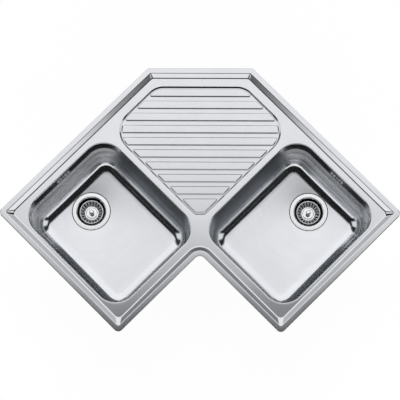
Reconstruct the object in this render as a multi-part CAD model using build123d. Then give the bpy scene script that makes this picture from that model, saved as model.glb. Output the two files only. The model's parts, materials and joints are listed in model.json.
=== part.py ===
from build123d import *
import os
from math import cos, floor, radians, sin, sqrt, tan

# A corner kitchen sink in pressed steel, millimetres, +Z up.
# z = 0 is the worktop that the rim rests on. +Y points into the corner of the room, and the sink
# is the same on both sides of X = 0. The left half is modelled and mirrored.
# "Arm coordinates" start in the virtual corner of the room: x runs along the left arm to its end,
# y runs from the left wall across the arm. Heights are the same in both.

# --- overall plan
arm_length = 830.0
rear_cut = 218.0            # length that the diagonal takes off each wall side
corner_r = 15.0             # right-angled outer corners
rear_corner_r = 12.0        # blunt corners at the ends of the diagonal
notch_r = 17.5              # hollow corner between the arms
least_corner_r = 5.0        # tightest corner pressed into the sheet

# --- sheet, rim and deck
sheet = 1.0
rim_height = 3.0            # top of the rim above the worktop
rim_edge_r = 1.2
rim_band = 16.0             # flat border
rim_slope = 13.0            # width of the slope down to the deck
deck_fall = 9.0             # from the rim down to the deck
lip_gap = 0.3               # turned-down edge above the worktop
form_depth = 20.0           # solids that shape the pressing, below the collars
over = 1.0                  # how far a cutting solid runs past what it cuts

# --- foam strip under the rim
seal_edge_gap = 2.0
seal_width = 9.0

# --- bowls
bowl_along = 341.0
bowl_across = 397.0
bowl_depth = 180.0          # deck to bowl floor
bowl_corner_r = 65.0
bowl_draft = 5.0            # degrees
bowl_floor_r = 30.0
bowl_end_strip = 40.0       # deck between the bowl and the end of the arm
bowl_wall_strip = 50.0      # deck between the bowl and the wall side
bowl_front_strip = 53.0     # deck between the bowl and the front of the arm
bowl_lip_r = 5.0
collar_length = 12.0        # deck to the weld

# --- drainer
drainer_margin = 54.0       # from the wall sides and the diagonal
drainer_bowl_gap = 20.0
drainer_tip_width = 31.0
drainer_side_r = 70.0
drainer_rear_r = 57.0
drainer_tip_r = 12.0
drainer_rear_depth = 2.2
drainer_tip_depth = 5.0
rib_margin = 7.0
rib_pitch = 36.5
rib_width = 22.4
rib_rise = 1.8

# --- sound pads
pad_thickness = 2.5
pad_corner_r = 20.0
pad_floor_margin = 15.0     # bowl pad inside the flat of the bowl floor
pad_waste_gap = 12.0        # bowl pad to the waste body
drainer_pad_margin = 14.0

# --- strainer cup in the bowl floor
drain_to_wall_side = 108.0  # drain axis from the bowl's wall side
flange_r = 56.5
flange_clearance = 1.0
seat_slope = 2.5
seat_depth = 3.0
bowl_hole_r = 45.0
cup_steel = 1.0
cup_mouth_r = 42.3
cup_floor_r = 39.5
cup_depth = 38.5            # flange to cup floor
cup_edge_r = 1.0
sump_r = 21.0
sump_depth = 6.0
sump_hole_r = 4.2
sump_hole_count = 6
flange_seal_thickness = 1.5
flange_seal_inset = 0.5

# --- waste body under the bowl
gasket_thickness = 3.0
gasket_width = 7.0
waste_wall = 3.0
waste_bore_r = 47.0
waste_depth = 55.0
waste_lip_height = 4.0
outlet_r = 23.9
outlet_length = 35.0
boss_r = 11.0
boss_web_thickness = 3.0
boss_web_height = 9.0
boss_web_count = 3
port_drop = 26.0            # bowl floor underside to the axis of the side port
port_wall = 2.4
port_length = 16.0

# --- waste screw
screw_r = 6.5
screw_clearance = 0.1
screw_head_r = 9.5
screw_head_height = 4.5
screw_length = 23.0
screw_bore_depth = 17.0

# --- lift-out basket
basket_steel = 0.9
basket_rim_r = 35.5
basket_rim_drop = 10.5      # flange top to basket rim
basket_rim_width = 1.6
basket_floor_r = 20.5
basket_depth = 19.0
slot_count = 20
slot_width = 2.6
slot_margin = 2.0
seal_disc_r = 24.0
seal_disc_thickness = 3.5
stem_r = 4.0
stem_clearance = 0.4
stem_length = 16.0          # below the rubber disc
stem_point = 2.0            # taper at the stem's foot
stem_point_r = 3.0
shoulder_r = 8.0
knob_r = 7.25
knob_height = 6.0
knob_neck_r = 3.6
knob_flare = 1.0            # cone under the knob and at the foot of its neck
knob_round = 1.8

# --- overflow
overflow_drop = 32.0        # deck to the row of holes
overflow_hole_r = 3.2
overflow_hole_pitch = 10.0
overflow_holes_each_side = 2
head_width = 62.0
head_height = 20.0
head_depth = 19.5
head_wall = 2.5
head_seal_thickness = 2.0
head_boss_r = 4.5
head_screw_r = 2.0
head_screw_head_r = 4.2
head_screw_head_height = 1.8
head_screw_length = 14.0
head_screw_slot = 1.0
fit_clearance = 0.2         # push-on and screwed plastic fits
port_clearance = 0.6        # pipe in the bore of the side port
pipe_r = 10.0
pipe_wall = 1.4
pipe_bend_r = 25.0
pipe_stand_off = 1.0        # pipe to the bowl wall
pipe_insertion = 12.0
spigot_length = 18.0
spigot_wall = 1.6
nut_width = 36.0
nut_sides = 8
nut_overlap = 10.0
nut_cap = 3.0
washer_width = 3.0

# --- clips that pull the sink down on the worktop
worktop_thickness = 38.0
clip_inset = 26.0           # screw axis from the edge of the sink
bracket_length = 24.0
bracket_width = 14.0
bracket_plate = 2.0
bracket_depth = 11.0        # deck underside to the foot of the bracket
clip_screw_r = 2.9
clip_screw_length = 48.0
clip_screw_head_r = 4.6
clip_screw_head_height = 4.0
leg_clearance = 0.1
leg_hub_r = 6.0
leg_hub_height = 8.0
leg_width = 9.0
leg_reach = 18.5
leg_plate = 3.0
leg_tooth_height = 14.0
clips_on_wall_side = (360.0, 735.0)    # from the corner, along the arm
clips_on_end = (140.0, 360.0)          # from the wall side, across the arm
clips_on_front = (665.0,)              # from the corner, along the arm
clips_on_diagonal = (80.0,)            # from the middle of the diagonal

# --- worked out from the sizes above
diagonal = sqrt(2)
arm_width = bowl_wall_strip + bowl_across + bowl_front_strip
corner_y = (arm_length + arm_width + rear_cut) / 2 / diagonal - corner_r * (diagonal - 1) / 2
seal_height = rim_height - sheet
deck_z = rim_height - deck_fall
collar_z = deck_z - collar_length
floor_z = deck_z - bowl_depth
form_floor = collar_z - form_depth
bowl_x = arm_length - bowl_end_strip - bowl_along / 2
bowl_y = bowl_wall_strip + bowl_across / 2
drain_y = bowl_wall_strip + drain_to_wall_side
wall_tan = tan(radians(bowl_draft))
wall_cos = cos(radians(bowl_draft))
wall_sin = sin(radians(bowl_draft))

# heights at the drain, counted from the bowl floor
seat_z = -seat_depth
flange_z = seat_z + flange_seal_thickness + cup_steel
cup_z = flange_z - cup_depth
sump_z = cup_z - sump_depth
boss_z = sump_z - cup_steel
waste_top_z = seat_z - sheet - gasket_thickness
waste_floor_z = waste_top_z - waste_depth
outlet_z = waste_floor_z - outlet_length
port_z = seat_z - sheet - port_drop
basket_z = flange_z - basket_rim_drop
basket_floor_z = basket_z - basket_depth
disc_z = cup_z + seal_disc_thickness

port_bore_r = pipe_r + port_clearance
port_r = port_bore_r + port_wall
port_end = waste_bore_r + waste_wall + port_length


def on_sink(shape):
    # arm coordinates to the sink's own
    return Pos(0, corner_y, 0) * Rot(0, 0, -135) * shape


def at_drain(shape):
    return on_sink(Pos(bowl_x, drain_y, floor_z) * shape)


def turned(points):
    # a ring or plug from its section, as (radius, height) points
    return revolve(Plane.XZ * make_face(Polyline(*points, close=True)), Axis.Z)


def prism(face, low, high):
    return extrude(Pos(0, 0, low) * face, high - low, dir=(0, 0, 1))


def box(x_low, x_high, y_low, y_high, z_low, z_high):
    size = (x_high - x_low, y_high - y_low, z_high - z_low)
    middle = ((x_low + x_high) / 2, (y_low + y_high) / 2, (z_low + z_high) / 2)
    return Pos(*middle) * Box(*size)


def rounded(corners, radii, inset):
    # the outline through corners, moved inwards by inset, with its corners rounded
    points, rounds = [], []
    for i, corner in enumerate(corners):
        here = Vector(*corner)
        come = (here - Vector(*corners[i - 1])).normalized()
        leave = (Vector(*corners[(i + 1) % len(corners)]) - here).normalized()
        turn = come.X * leave.Y - come.Y * leave.X
        shift = (Vector(-come.Y, come.X) + Vector(-leave.Y, leave.X)) / (1 + come.dot(leave))
        points.append(here + shift * inset)
        grown = radii[i] - inset if turn > 0 else radii[i] + inset
        rounds.append(max(grown, least_corner_r))
    return make_face(FilletPolyline(*points, radius=rounds, close=True))


def rim_outline(inset):
    corners = [
        (rear_cut, 0), (arm_length, 0), (arm_length, arm_width), (arm_width, arm_width),
        (arm_width, arm_length), (0, arm_length), (0, rear_cut),
    ]
    radii = [rear_corner_r, corner_r, corner_r, notch_r, corner_r, corner_r, rear_corner_r]
    return rounded(corners, radii, inset)


def bowl_outline(inset):
    return Pos(bowl_x, bowl_y) * RectangleRounded(
        bowl_along - 2 * inset, bowl_across - 2 * inset, bowl_corner_r - inset)


def drainer_outline(inset):
    near = drainer_margin
    far = bowl_x - bowl_along / 2 - drainer_bowl_gap
    rear = rear_cut + drainer_margin * diagonal - near
    tip = far - drainer_tip_width / diagonal
    corners = [(rear, near), (far, near), (far, tip), (tip, far), (near, far), (near, rear)]
    radii = [drainer_rear_r, drainer_side_r, drainer_tip_r, drainer_tip_r, drainer_side_r, drainer_rear_r]
    return rounded(corners, radii, inset)


def drainer_rear_y():
    return corner_y - rear_cut / diagonal - drainer_margin


def drainer_tip_y():
    far = bowl_x - bowl_along / 2 - drainer_bowl_gap
    return corner_y - far * diagonal + drainer_tip_width / 2


def drainer_wedge(offset, top):
    # from the sloping drainer floor, moved up by offset, to the level top
    rear_y, tip_y = drainer_rear_y(), drainer_tip_y()
    rear_z = deck_z - drainer_rear_depth + offset
    tip_z = deck_z - drainer_tip_depth + offset
    side = make_face(Polyline((rear_y, rear_z), (rear_y, top), (tip_y, top), (tip_y, tip_z), close=True))
    return extrude(Plane.YZ * side, arm_length, both=True)


def ribs(drop):
    # flat bars left standing in the drainer, the last one running out to the tip
    field = on_sink(drainer_outline(rib_margin + drop))
    first = drainer_rear_y() - rib_margin
    last = drainer_tip_y() + rib_margin
    count = floor((first - last) / rib_pitch)
    bars = []
    for i in range(count):
        top = first - i * rib_pitch - drop
        low = top + 2 * drop - rib_width if i < count - 1 else last + drop
        strip = Pos(0, (top + low) / 2) * Rectangle(2 * arm_length, top - low)
        bars.append(prism(field & strip, form_floor, deck_z))
    return Part() + bars


def drainer_hollow(drop):
    # what the drainer takes out of the deck
    depth = drainer_tip_depth + over
    wide = Pos(0, 0, deck_z + over) * drainer_outline(-over - drop)
    narrow = Pos(0, 0, deck_z - depth) * drainer_outline(depth / 2 - drop)
    hollow = on_sink(loft([wide, narrow], ruled=True))
    hollow = hollow & drainer_wedge(0, deck_z + over)
    bars = ribs(drop) - drainer_wedge(rib_rise, deck_z + over)
    return Pos(0, 0, -drop) * (hollow - bars)


def pressing(drop):
    # everything below the skin of the deck: its top for drop 0, its underside for drop = sheet
    level = on_sink(prism(rim_outline(drop), form_floor, deck_z - drop))
    for hole in both(on_sink(prism(bowl_outline(-drop), form_floor, deck_z - drop))):
        level -= hole
    top = level.faces().sort_by(Axis.Z)[-1]
    lips = [edge for wire in top.inner_wires() for edge in wire.edges()]
    level = fillet(lips, bowl_lip_r - drop)
    border = prism(rim_outline(drop), form_floor, rim_height - drop)
    if drop < rim_edge_r:
        border = fillet(border.edges().group_by(Axis.Z)[-1], rim_edge_r - drop)
    inner = Pos(0, 0, deck_z - drop) * rim_outline(rim_band + rim_slope)
    outer = Pos(0, 0, rim_height - drop) * rim_outline(rim_band)
    border -= loft([inner, outer], ruled=True)
    border -= prism(rim_outline(rim_band + rim_slope), form_floor, deck_z - drop)
    return level + on_sink(border) - drainer_hollow(drop)


def both(shape):
    return [shape, mirror(shape, Plane.YZ)]


def deck(underside):
    steel = pressing(0) - underside
    steel -= box(-arm_length, arm_length, -arm_length, arm_length, form_floor, collar_z)
    lip = prism(rim_outline(-over), form_floor, lip_gap)
    lip -= prism(rim_outline(2 * sheet), form_floor, lip_gap)
    return steel - on_sink(lip)


def rim_seal():
    outer = prism(rim_outline(seal_edge_gap), 0, seal_height)
    return on_sink(outer - prism(rim_outline(seal_edge_gap + seal_width), 0, seal_height))


def drainer_pad():
    # glued under the drainer, with its top on the underside of the channels
    plan = on_sink(prism(drainer_outline(drainer_pad_margin), form_floor, deck_z))
    top = -sheet
    return plan & (drainer_wedge(top - pad_thickness, deck_z) - drainer_wedge(top, deck_z))


def bowl_form(grow):
    # the pressed basin as a solid: its inside for grow 0, its outside for grow = sheet
    depth = collar_z - floor_z + grow
    draft = depth * wall_tan
    mouth = Pos(0, 0, collar_z) * bowl_outline(-grow)
    base = Pos(0, 0, floor_z - grow) * bowl_outline(draft - grow)
    basin = loft([mouth, base], ruled=True)
    basin = fillet(basin.edges().group_by(Axis.Z)[0], bowl_floor_r + grow)
    seat = turned([
        (0, seat_z - grow), (flange_r + flange_clearance + grow, seat_z - grow),
        (flange_r + flange_clearance + seat_slope + grow, -grow),
        (flange_r + flange_clearance + seat_slope + grow, seat_depth), (0, seat_depth),
    ])
    return basin + Pos(bowl_x, drain_y, floor_z) * seat


def on_wall(shape):
    # the overflow's own place: x along the wall, y up it, z outwards from the bowl's outer face
    height = deck_z - overflow_drop
    across = bowl_wall_strip + (collar_z - height) * wall_tan - sheet / wall_cos
    place = Plane(origin=(bowl_x, across, height), x_dir=(1, 0, 0), z_dir=(0, -wall_cos, -wall_sin))
    return place * shape


def overflow_holes():
    reach = range(-overflow_holes_each_side, overflow_holes_each_side + 1)
    return [i * overflow_hole_pitch for i in reach if i != 0]


def bowl():
    shell = bowl_form(sheet) - bowl_form(0)
    shell -= Pos(bowl_x, drain_y, floor_z) * Cylinder(bowl_hole_r, 4 * seat_depth)
    for x in overflow_holes():
        shell -= on_wall(Pos(x, 0, 0) * Cylinder(overflow_hole_r, 4 * sheet))
    shell -= on_wall(Cylinder(head_screw_r + fit_clearance, 4 * sheet))
    return on_sink(shell)


def bowl_pad():
    flat = (collar_z - floor_z) * wall_tan + bowl_floor_r + pad_floor_margin
    waste_side = drain_y + waste_bore_r + gasket_width + pad_waste_gap
    far_side = bowl_y + bowl_across / 2 - flat
    plan = Pos(bowl_x, (waste_side + far_side) / 2) * RectangleRounded(
        bowl_along - 2 * flat, far_side - waste_side, pad_corner_r)
    return on_sink(prism(plan, floor_z - sheet - pad_thickness, floor_z - sheet))


def strainer_cup():
    under_z = flange_z - cup_steel
    cup = turned([
        (flange_r, flange_z), (cup_mouth_r + cup_edge_r, flange_z), (cup_mouth_r, flange_z - cup_edge_r),
        (cup_floor_r, cup_z), (sump_r, cup_z), (sump_r, sump_z), (0, sump_z), (0, boss_z),
        (sump_r + cup_steel, boss_z), (sump_r + cup_steel, cup_z - cup_steel),
        (cup_floor_r + cup_steel, cup_z - cup_steel), (cup_mouth_r + cup_steel, under_z - cup_edge_r),
        (cup_mouth_r + cup_steel + cup_edge_r, under_z), (flange_r, under_z),
    ])
    cup -= Pos(0, 0, sump_z) * Cylinder(screw_r + screw_clearance, 4 * cup_steel)
    ring = (sump_r + screw_head_r) / 2
    for place in PolarLocations(ring, sump_hole_count):
        cup -= place * Pos(0, 0, sump_z) * Cylinder(sump_hole_r, 4 * cup_steel)
    return at_drain(cup)


def flat_ring(outer, inner, low, high):
    return prism(Circle(outer) - Circle(inner), low, high)


def flange_seal():
    inner = bowl_hole_r + flange_seal_inset
    return at_drain(flat_ring(flange_r - flange_seal_inset, inner, seat_z, seat_z + flange_seal_thickness))


def waste_gasket():
    outer = waste_bore_r + gasket_width
    return at_drain(flat_ring(outer, waste_bore_r, waste_top_z, waste_top_z + gasket_thickness))


def towards_wall(radius, start, end):
    # a rod from the drain axis to the wall side, at the height of the side port
    return Pos(0, -(start + end) / 2, port_z) * Rot(90, 0, 0) * Cylinder(radius, end - start)


def waste_body():
    outer = waste_bore_r + waste_wall
    outlet_bore = outlet_r - waste_wall
    lip_z = waste_top_z - waste_lip_height
    body = turned([
        (waste_bore_r, waste_top_z), (waste_bore_r + gasket_width, waste_top_z),
        (waste_bore_r + gasket_width, lip_z), (outer, lip_z),
        (outer, waste_floor_z), (outlet_r, waste_floor_z), (outlet_r, outlet_z),
        (outlet_bore, outlet_z), (outlet_bore, waste_floor_z + waste_wall),
        (waste_bore_r, waste_floor_z + waste_wall),
    ])
    body += towards_wall(port_r, waste_bore_r + waste_wall / 2, port_end)
    body -= towards_wall(port_bore_r, waste_bore_r - waste_wall, port_end)
    foot = waste_floor_z + waste_wall / 2
    half_web = boss_web_thickness / 2
    web = box(0, outer - waste_wall / 2, -half_web, half_web, foot, foot + boss_web_height)
    for i in range(boss_web_count):
        body += Rot(0, 0, 90 + i * 360 / boss_web_count) * web
    body += prism(Circle(boss_r), foot, boss_z)
    body -= prism(Circle(screw_r + screw_clearance), foot, boss_z)
    return at_drain(body)


def waste_screw():
    # hollow, so that the basket's stem finds its centre in it
    screw = turned([
        (0, sump_z - screw_length), (screw_r, sump_z - screw_length), (screw_r, sump_z),
        (screw_head_r, sump_z), (screw_head_r, sump_z + screw_head_height),
        (stem_r + stem_clearance, sump_z + screw_head_height),
        (stem_r + stem_clearance, sump_z + screw_head_height - screw_bore_depth),
        (0, sump_z + screw_head_height - screw_bore_depth),
    ])
    return at_drain(screw)


def basket():
    wall = basket_steel
    cone = turned([
        (0, basket_floor_z), (basket_floor_r, basket_floor_z), (basket_rim_r - basket_rim_width, basket_z),
        (basket_rim_r, basket_z), (basket_rim_r, basket_z - wall),
        (basket_floor_r + wall, basket_floor_z - wall), (0, basket_floor_z - wall),
    ])
    low, high = basket_floor_r + slot_margin, basket_rim_r - basket_rim_width - slot_margin
    slot = box(low, high, -slot_width / 2, slot_width / 2, basket_floor_z - wall, basket_z + wall)
    for i in range(slot_count):
        cone -= Rot(0, 0, i * 360 / slot_count) * slot
    cone -= Pos(0, 0, basket_floor_z) * Cylinder(stem_r, 4 * wall)
    return at_drain(cone)


def basket_disc():
    return at_drain(flat_ring(seal_disc_r, stem_r, cup_z, disc_z))


def basket_knob():
    # stem, shoulder under the basket, and the knob, turned as one
    foot = cup_z - stem_length
    under = basket_floor_z - basket_steel
    top = basket_z + knob_height / 2
    low = top - knob_height
    return at_drain(turned([
        (0, foot), (stem_point_r, foot), (stem_r, foot + stem_point), (stem_r, disc_z),
        (shoulder_r, disc_z), (shoulder_r, under), (stem_r, under), (stem_r, basket_floor_z),
        (knob_neck_r + knob_flare, basket_floor_z), (knob_neck_r, basket_floor_z + 2 * knob_flare),
        (knob_neck_r, low), (knob_r, low + knob_flare), (knob_r, top - knob_round),
        (knob_r - knob_round, top), (0, top),
    ]))


def rounded_block(width, height, low, high):
    return prism(RectangleRounded(width, height, height / 2 - fit_clearance), low, high)


def overflow_seal():
    ring = rounded_block(head_width, head_height, 0, head_seal_thickness)
    ring -= rounded_block(head_width - 4 * head_wall, head_height - 4 * head_wall, 0, head_seal_thickness)
    return on_sink(on_wall(ring))


def pipe_axis_z():
    # how far the pipe's axis lies outside the bowl's outer face
    return pipe_stand_off + pipe_r


def overflow_head():
    low, high = head_seal_thickness, head_seal_thickness + head_depth
    head = rounded_block(head_width, head_height, low, high)
    head -= rounded_block(head_width - 2 * head_wall, head_height - 2 * head_wall, low, high - head_wall)
    head += prism(Circle(head_boss_r), low, high - head_wall / 2)
    head -= prism(Circle(head_screw_r + fit_clearance / 2), low, high - head_wall)
    spigot_r = pipe_r - pipe_wall - fit_clearance
    top = head_wall / 2 - head_height / 2
    down = Pos(0, top - spigot_length / 2, pipe_axis_z()) * Rot(90, 0, 0)
    head += down * Cylinder(spigot_r, spigot_length)
    # the bore runs past the spigot's foot and just through the head's wall
    head -= down * Cylinder(spigot_r - spigot_wall, spigot_length + head_wall)
    return on_sink(on_wall(head))


def overflow_screw():
    inside = -sheet
    screw = prism(Circle(head_screw_r), inside, head_screw_length)
    head = prism(Circle(head_screw_head_r), inside - head_screw_head_height, inside)
    head = fillet(head.edges().group_by(Axis.Z)[0], head_screw_head_height / 2)
    head -= box(-head_screw_head_r, head_screw_head_r, -head_screw_slot / 2, head_screw_slot / 2,
                inside - head_screw_head_height, inside - head_screw_head_height / 2)
    return on_sink(on_wall(screw + head))


def overflow_pipe():
    # down the bowl's wall, then along to the side port of the waste body
    height = deck_z - overflow_drop
    face_y = bowl_wall_strip + (collar_z - height) * wall_tan - sheet / wall_cos
    out = pipe_axis_z()
    start = head_height / 2 + fit_clearance
    foot_z = floor_z + port_z
    run = (height - wall_sin * out - foot_z) / wall_cos
    path = Plane.YZ.offset(bowl_x) * FilletPolyline(
        (face_y - wall_cos * out + wall_sin * start, height - wall_sin * out - wall_cos * start),
        (face_y - wall_cos * out + wall_sin * run, foot_z),
        (drain_y - port_end + pipe_insertion, foot_z), radius=pipe_bend_r)
    section = Circle(pipe_r) - Circle(pipe_r - pipe_wall)
    return on_sink(sweep(Plane(origin=path @ 0, z_dir=path % 0) * section, path=path))


def pipe_nut():
    start, end = port_end - nut_overlap, port_end + washer_width + nut_cap
    sides = RegularPolygon(nut_width / 2, nut_sides, major_radius=False)
    nut = Pos(0, -end, port_z) * Rot(-90, 0, 0) * extrude(sides, end - start, dir=(0, 0, 1))
    nut -= towards_wall(port_r + fit_clearance, start, port_end + washer_width)
    nut -= towards_wall(pipe_r + fit_clearance, start, end)
    return at_drain(nut)


def pipe_washer():
    washer = towards_wall(port_r, port_end, port_end + washer_width)
    return at_drain(washer - towards_wall(pipe_r + fit_clearance / 2, port_end, port_end + washer_width))


def clip_places():
    # each clip stands at its screw's axis, with +Y pointing in from the edge of the sink
    wall_side = [Pos(x, clip_inset) for x in clips_on_wall_side]
    end = [Pos(arm_length - clip_inset, y) * Rot(0, 0, 90) for y in clips_on_end]
    front = [Pos(x, arm_width - clip_inset) * Rot(0, 0, 180) for x in clips_on_front]
    rear_y = corner_y - rear_cut / diagonal
    middle = [Pos(-x, rear_y - clip_inset) * Rot(0, 0, 180) for x in clips_on_diagonal]
    return [Pos(0, corner_y) * Rot(0, 0, -135) * place for place in wall_side + end + front] + middle


def clip_bracket():
    # a channel welded under the rim, before its top is shaped to the pressing
    foot = deck_z - sheet - bracket_depth
    half, inner = bracket_length / 2, bracket_width / 2 - bracket_plate
    block = box(-half, half, -bracket_width / 2, bracket_width / 2, foot, rim_height)
    block -= box(-half, half, -inner, inner, foot + bracket_plate, rim_height)
    return block - Pos(0, 0, foot) * Cylinder(clip_screw_r + leg_clearance, 4 * bracket_plate)


def clip_screw():
    seat = deck_z - sheet - bracket_depth + bracket_plate
    screw = prism(Circle(clip_screw_r), seat - clip_screw_length, seat)
    return screw + prism(Circle(clip_screw_head_r), seat, seat + clip_screw_head_height)


def clip_leg():
    # threaded hub, arm and the tooth that grips the worktop from below
    tooth_z = -worktop_thickness
    foot = tooth_z - leg_tooth_height
    leg = prism(Circle(leg_hub_r), foot, foot + leg_hub_height)
    half = leg_width / 2
    leg += box(-half, half, -leg_reach, 0, foot, foot + leg_plate)
    leg += box(-half, half, -leg_reach, leg_plate - leg_reach, foot, tooth_z)
    return leg - prism(Circle(clip_screw_r + leg_clearance), foot, foot + leg_hub_height)


def save(name, shape):
    export_step(shape, f"parts/{name}.step")
    print(name, len(shape.solids()), "solid,", round(shape.volume), "mm3")


def save_pair(name, shape):
    for side, half in zip(("left", "right"), both(shape)):
        save(f"{side}_{name}", half)


os.makedirs("parts", exist_ok=True)
underside = pressing(sheet)
save("deck", deck(underside))
save("rim_seal", rim_seal())
save("drainer_pad", drainer_pad())
save_pair("bowl", bowl())
save_pair("bowl_pad", bowl_pad())
save_pair("strainer_cup", strainer_cup())
save_pair("flange_seal", flange_seal())
save_pair("waste_gasket", waste_gasket())
save_pair("waste_body", waste_body())
save_pair("waste_screw", waste_screw())
save_pair("basket", basket())
save_pair("basket_disc", basket_disc())
save_pair("basket_knob", basket_knob())
save_pair("overflow_seal", overflow_seal())
save_pair("overflow_head", overflow_head())
save_pair("overflow_screw", overflow_screw())
save_pair("overflow_pipe", overflow_pipe())
save_pair("pipe_nut", pipe_nut())
save_pair("pipe_washer", pipe_washer())

brackets, screws = [], []
for i, place in enumerate(clip_places(), start=1):
    brackets += both(place * clip_bracket())
    screws += both(place * clip_screw())
    save_pair(f"clip_leg_{i}", place * clip_leg())
save("clip_brackets", (Part() + brackets) & underside)
save("clip_screws", Part() + screws)
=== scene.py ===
import bpy
import json
from math import atan2, cos, pi, radians, sin, sqrt, tan
from mathutils import Matrix, Vector
from mathutils.geometry import delaunay_2d_cdt


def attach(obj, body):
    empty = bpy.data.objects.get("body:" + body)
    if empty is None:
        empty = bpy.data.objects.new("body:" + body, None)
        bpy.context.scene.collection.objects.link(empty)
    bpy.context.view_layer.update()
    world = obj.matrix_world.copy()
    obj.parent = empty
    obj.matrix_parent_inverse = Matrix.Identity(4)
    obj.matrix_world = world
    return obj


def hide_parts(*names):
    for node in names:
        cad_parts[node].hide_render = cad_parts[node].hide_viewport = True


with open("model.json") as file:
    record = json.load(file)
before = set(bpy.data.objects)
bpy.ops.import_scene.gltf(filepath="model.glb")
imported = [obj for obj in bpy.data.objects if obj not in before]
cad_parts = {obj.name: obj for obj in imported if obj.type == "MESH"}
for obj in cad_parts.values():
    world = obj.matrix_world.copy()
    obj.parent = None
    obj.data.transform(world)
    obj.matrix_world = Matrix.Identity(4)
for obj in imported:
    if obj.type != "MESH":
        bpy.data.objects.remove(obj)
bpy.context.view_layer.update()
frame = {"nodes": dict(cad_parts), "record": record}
nodes = frame["nodes"]

# Sizes are in mm until a skin is built. Arm coordinates start in the virtual corner of the room:
# x runs along the left arm, y across it from the wall. Right pieces are the left ones mirrored.
plan = {
    "armLength": 830, "armWidth": 500, "rearCut": 218,
    "cornerRound": 15, "rearRound": 12, "notchRound": 17.5, "leastRound": 5,
    "deckZ": -6, "sheet": 1.0,
    "bowlX": 619.5, "bowlY": 248.5, "bowlAlong": 341, "bowlAcross": 397, "bowlRound": 65,
    "bowlArcSteps": 16, "bowlSideParts": (0.12, 0.24, 0.358, 0.642, 0.76, 0.88),
    "drainY": 158, "floorZ": -186, "draft": tan(radians(5)),
}
# the origin is in the middle between the rear edge and the rounded front corners
frontReach = (plan["armLength"] + plan["armWidth"] - 2 * plan["cornerRound"]) / sqrt(2) + plan["cornerRound"]
plan["cornerY"] = round((plan["rearCut"] / sqrt(2) + frontReach) / 2, 3)
sides = ("left", "right")


def feed(end, value):
    # a socket gets a link from a wire, or a value of its own
    if isinstance(value, Wire):
        value.tree.links.new(value.socket, end)
    else:
        end.default_value = value


class Wire:
    # a socket in a node tree, written in sums like a number
    def __init__(self, tree, socket=None):
        self.tree = tree
        self.socket = socket

    def node(self, kind, settings=None, sockets=None, take=0):
        made = self.tree.nodes.new(kind)
        for name, value in (settings or {}).items():
            setattr(made, name, value)
        for name, value in (sockets or {}).items():
            feed(made.inputs[name], value)
        return Wire(self.tree, made.outputs[take])

    def outputs(self, *kinds):
        # some outputs of the node that this one comes from
        return [Wire(self.tree, self.socket.node.outputs[kind]) for kind in kinds]

    def axes(self):
        return self.node("ShaderNodeSeparateXYZ", None, {0: self}).outputs(0, 1, 2)

    def maths(self, operation, *others):
        return self.node("ShaderNodeMath", {"operation": operation}, dict(enumerate((self, *others))))

    def __add__(self, other):
        return self.maths("ADD", other)

    __radd__ = __add__

    def __sub__(self, other):
        return self.maths("SUBTRACT", other)

    def __rsub__(self, other):
        return self.node("ShaderNodeMath", {"operation": "SUBTRACT"}, {0: other, 1: self})

    def __mul__(self, other):
        return self.maths("MULTIPLY", other)

    __rmul__ = __mul__

    def __truediv__(self, other):
        return self.maths("DIVIDE", other)

    def smooth(self, low, high):
        # 0 up to low, 1 from high, or the other way round where low is the larger
        return self.node("ShaderNodeMapRange", {"interpolation_type": "SMOOTHSTEP"},
                         {"Value": self, "From Min": low, "From Max": high})

    def mix(self, first, second):
        # the first colour where this is 0 and the second where it is 1
        first, second = (end if isinstance(end, Wire) else (*end, 1) for end in (first, second))
        return self.node("ShaderNodeMix", {"data_type": "RGBA"}, {0: self, 6: first, 7: second}, 2)

    def stretched(self, scale):
        return self.node("ShaderNodeVectorMath", {"operation": "MULTIPLY"}, {0: self, 1: scale})

    def noise(self, scale, detail=2, roughness=0.5):
        return self.node("ShaderNodeTexNoise", {"noise_dimensions": "3D"},
                         {"Vector": self, "Scale": scale, "Detail": detail, "Roughness": roughness})

    def bump(self, strength, distance, under=None):
        sockets = {"Height": self, "Strength": strength, "Distance": distance}
        if under:
            sockets["Normal"] = under
        return self.node("ShaderNodeBump", None, sockets)


def newMaterial(name):
    # the material, its surface shader and the place on the object in metres
    material = bpy.data.materials.new(name)
    material.use_nodes = True
    tree = material.node_tree
    tree.nodes.clear()
    shader = tree.nodes.new("ShaderNodeBsdfPrincipled")
    end = tree.nodes.new("ShaderNodeOutputMaterial")
    tree.links.new(shader.outputs[0], end.inputs[0])
    place = Wire(tree).node("ShaderNodeTexCoord", take=3)
    return material, shader, place


def put(shader, **sockets):
    for name, value in sockets.items():
        feed(shader.inputs[name.replace("_", " ")], value)


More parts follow.
